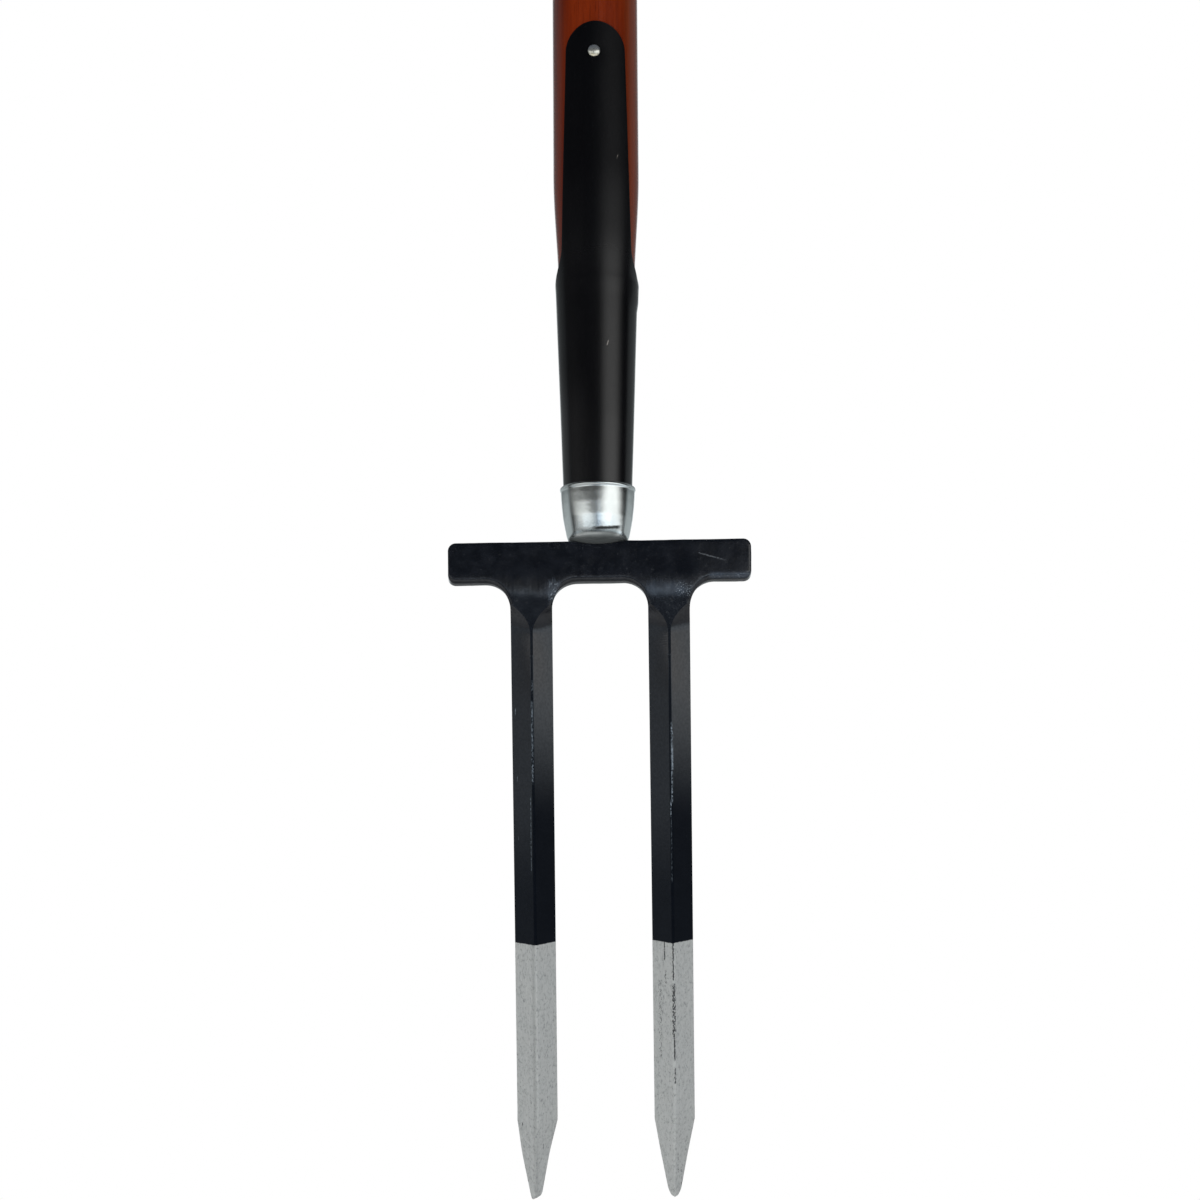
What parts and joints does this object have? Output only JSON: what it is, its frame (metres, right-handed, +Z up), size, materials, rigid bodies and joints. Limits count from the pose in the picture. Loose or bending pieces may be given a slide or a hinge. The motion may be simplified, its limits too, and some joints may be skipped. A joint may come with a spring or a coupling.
{
  "type": "border fork",
  "caption": "Garden border fork with two cranked diamond-bar tines, a crossbar with foot treads, a strapped wooden shaft and a D-shaped grip.",
  "frame": {"origin": "middle of the crossbar's flat underside, between the two tines", "axes": "+Z up along the shaft to the grip, +X along the crossbar, -Y the convex side that the picture shows; the tines run down and lean back towards +Y"},
  "size_m": [0.1256, 0.0798, 0.9997],
  "materials": {
    "forged_head": "glossy blue-black paint on the crossbar and upper tines, silver-grey paint with scratches on the lower tines",
    "bright_zinc": "bright zinc plate, slightly scuffed",
    "black_strap": "semi-matt black paint",
    "stained_wood": "red-brown stain under clear lacquer",
    "black_yoke": "semi-matt black paint",
    "plain_steel": "bright steel"
  },
  "bodies": {
    "root": {"fork_head": "forged_head", "ferrule": "bright_zinc", "front_strap": "black_strap", "back_strap": "black_strap", "strap_rivet": "bright_zinc", "shaft": "stained_wood", "grip_yoke": "black_yoke", "yoke_rivet_lower": "plain_steel", "yoke_rivet_upper": "plain_steel", "grip": "stained_wood", "grip_rod": "plain_steel", "grip_washer_left": "plain_steel", "grip_washer_right": "plain_steel"}
  },
  "joints": []
}
